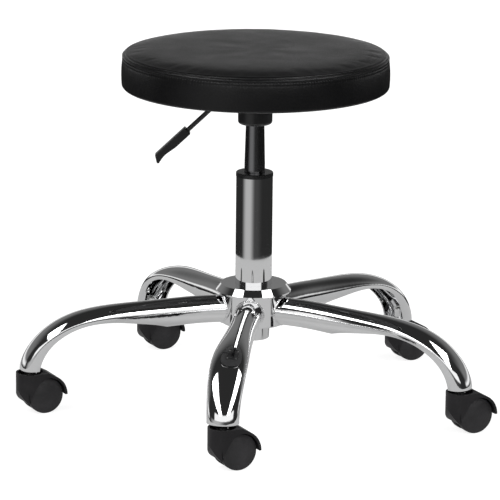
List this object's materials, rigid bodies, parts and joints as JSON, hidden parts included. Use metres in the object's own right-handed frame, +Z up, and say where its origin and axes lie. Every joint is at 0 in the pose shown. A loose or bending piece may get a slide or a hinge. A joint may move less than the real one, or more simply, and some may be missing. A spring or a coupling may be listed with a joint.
{
  "type": "adjustable swivel stool",
  "caption": "Round padded swivel stool with a gas lift and side lever, on a chrome five-leg base with hooded twin-wheel casters.",
  "frame": {"origin": "on the floor, on the swivel axis, midway between the five caster stems", "axes": "+Z up along the swivel and lift axis; leg_1 points along -Y; the casters trail towards 34 degrees from +X and the lever points to 187 degrees"},
  "size_m": [0.6553, 0.6195, 0.4925],
  "materials": {
    "chrome": "bright chrome plate on formed steel",
    "black_steel": "semi-gloss black powder coat",
    "tube_black": "burnished black on ground steel",
    "steel": "zinc-plated or ground steel",
    "alloy": "turned aluminium",
    "brass": "turned brass",
    "guide_plastic": "smooth black acetal",
    "lever_plastic": "satin black moulded plastic",
    "caster_plastic": "finely textured charcoal nylon",
    "rubber": "black rubber",
    "vinyl": "fine-grained black upholstery vinyl with a soft sheen",
    "foam": "open-cell cushion foam",
    "plywood": "sanded plywood",
    "dust_cloth": "black non-woven cloth"
  },
  "bodies": {
    "base": {"leg_1": "chrome", "leg_2": "chrome", "leg_3": "chrome", "leg_4": "chrome", "leg_5": "chrome", "caster_sockets": "chrome", "caster_stems": "steel", "stem_grip_rings": "steel", "hub_shell": "chrome", "hub_cap": "chrome", "hub_socket": "chrome", "column_tube": "chrome", "guide_sleeve": "guide_plastic", "bearing_lower_race": "steel"},
    "ball_race": {"bearing_cage": "brass", "bearing_balls": "steel"},
    "piston": {"piston_rod": "steel", "piston_head": "alloy", "bearing_upper_race": "steel", "rubber_bumper": "rubber", "retaining_clip": "steel"},
    "seat": {"pressure_tube": "tube_black", "inner_cylinder": "steel", "rod_guide": "alloy", "valve_body": "brass", "socket_cone": "black_steel", "socket_bell": "black_steel", "mechanism_plate": "black_steel", "lever_bracket": "black_steel", "lever_pivot_pin": "steel", "mounting_bolts": "steel", "t_nuts": "steel", "seat_board": "plywood", "seat_foam": "foam", "seat_cover": "vinyl", "dust_cloth": "dust_cloth", "cover_staples": "steel"},
    "lever": {"lever_rod": "black_steel", "lever_handle": "lever_plastic"},
    "release_pin": {"release_pin": "steel"},
    "caster_1": {"hood_1": "caster_plastic", "axle_1": "steel"},
    "wheel_left_1": {"wheel_left_1": "caster_plastic"},
    "wheel_right_1": {"wheel_right_1": "caster_plastic"},
    "caster_2": {"hood_2": "caster_plastic", "axle_2": "steel"},
    "wheel_left_2": {"wheel_left_2": "caster_plastic"},
    "wheel_right_2": {"wheel_right_2": "caster_plastic"},
    "caster_3": {"hood_3": "caster_plastic", "axle_3": "steel"},
    "wheel_left_3": {"wheel_left_3": "caster_plastic"},
    "wheel_right_3": {"wheel_right_3": "caster_plastic"},
    "caster_4": {"hood_4": "caster_plastic", "axle_4": "steel"},
    "wheel_left_4": {"wheel_left_4": "caster_plastic"},
    "wheel_right_4": {"wheel_right_4": "caster_plastic"},
    "caster_5": {"hood_5": "caster_plastic", "axle_5": "steel"},
    "wheel_left_5": {"wheel_left_5": "caster_plastic"},
    "wheel_right_5": {"wheel_right_5": "caster_plastic"}
  },
  "joints": [
    {"name": "seat_swivel", "type": "hinge", "parent": "base", "child": "piston", "pos_m": [0, 0, 0.104], "axis": [0, 0, 1], "continuous": true},
    {"name": "ball_race_roll", "type": "hinge", "parent": "base", "child": "ball_race", "pos_m": [0, 0, 0.1006], "axis": [0, 0, 1], "continuous": true},
    {"name": "seat_lift", "type": "slide", "parent": "piston", "child": "seat", "axis": [0, 0, 1], "range_m": [-0.06, 0.055]},
    {"name": "lever_lift", "type": "hinge", "parent": "seat", "child": "lever", "pos_m": [-0.02978, -0.00366, 0.43], "axis": [-0.1219, 0.9925, 0], "range_deg": [0, 8], "stiffness_Nm_per_rad": 1.5, "springref_deg": -5.73},
    {"name": "release_pin_press", "type": "slide", "parent": "seat", "child": "release_pin", "axis": [0, 0, -1], "range_m": [0, 0.0042]},
    {"name": "caster_swivel_1", "type": "hinge", "parent": "base", "child": "caster_1", "pos_m": [0, -0.308, 0.05], "axis": [0, 0, 1], "continuous": true},
    {"name": "wheel_left_spin_1", "type": "hinge", "parent": "caster_1", "child": "wheel_left_1", "pos_m": [0.01409, -0.29849, 0.025], "axis": [-0.5592, 0.829, 0], "continuous": true},
    {"name": "wheel_right_spin_1", "type": "hinge", "parent": "caster_1", "child": "wheel_right_1", "pos_m": [0.01409, -0.29849, 0.025], "axis": [-0.5592, 0.829, 0], "continuous": true},
    {"name": "caster_swivel_2", "type": "hinge", "parent": "base", "child": "caster_2", "pos_m": [0.29292, -0.09518, 0.05], "axis": [0, 0, 1], "continuous": true},
    {"name": "wheel_left_spin_2", "type": "hinge", "parent": "caster_2", "child": "wheel_left_2", "pos_m": [0.30702, -0.08567, 0.025], "axis": [-0.5592, 0.829, 0], "continuous": true},
    {"name": "wheel_right_spin_2", "type": "hinge", "parent": "caster_2", "child": "wheel_right_2", "pos_m": [0.30702, -0.08567, 0.025], "axis": [-0.5592, 0.829, 0], "continuous": true},
    {"name": "caster_swivel_3", "type": "hinge", "parent": "base", "child": "caster_3", "pos_m": [0.18104, 0.24918, 0.05], "axis": [0, 0, 1], "continuous": true},
    {"name": "wheel_left_spin_3", "type": "hinge", "parent": "caster_3", "child": "wheel_left_3", "pos_m": [0.19513, 0.25868, 0.025], "axis": [-0.5592, 0.829, 0], "continuous": true},
    {"name": "wheel_right_spin_3", "type": "hinge", "parent": "caster_3", "child": "wheel_right_3", "pos_m": [0.19513, 0.25868, 0.025], "axis": [-0.5592, 0.829, 0], "continuous": true},
    {"name": "caster_swivel_4", "type": "hinge", "parent": "base", "child": "caster_4", "pos_m": [-0.18104, 0.24918, 0.05], "axis": [0, 0, 1], "continuous": true},
    {"name": "wheel_left_spin_4", "type": "hinge", "parent": "caster_4", "child": "wheel_left_4", "pos_m": [-0.16694, 0.25868, 0.025], "axis": [-0.5592, 0.829, 0], "continuous": true},
    {"name": "wheel_right_spin_4", "type": "hinge", "parent": "caster_4", "child": "wheel_right_4", "pos_m": [-0.16694, 0.25868, 0.025], "axis": [-0.5592, 0.829, 0], "continuous": true},
    {"name": "caster_swivel_5", "type": "hinge", "parent": "base", "child": "caster_5", "pos_m": [-0.29292, -0.09518, 0.05], "axis": [0, 0, 1], "continuous": true},
    {"name": "wheel_left_spin_5", "type": "hinge", "parent": "caster_5", "child": "wheel_left_5", "pos_m": [-0.27883, -0.08567, 0.025], "axis": [-0.5592, 0.829, 0], "continuous": true},
    {"name": "wheel_right_spin_5", "type": "hinge", "parent": "caster_5", "child": "wheel_right_5", "pos_m": [-0.27883, -0.08567, 0.025], "axis": [-0.5592, 0.829, 0], "continuous": true}
  ],
  "couplings": [
    {"joint": "ball_race_roll", "follows": "seat_swivel", "ratio": 0.5},
    {"joint": "release_pin_press", "follows": "lever_lift", "m_per_rad": 0.03}
  ]
}
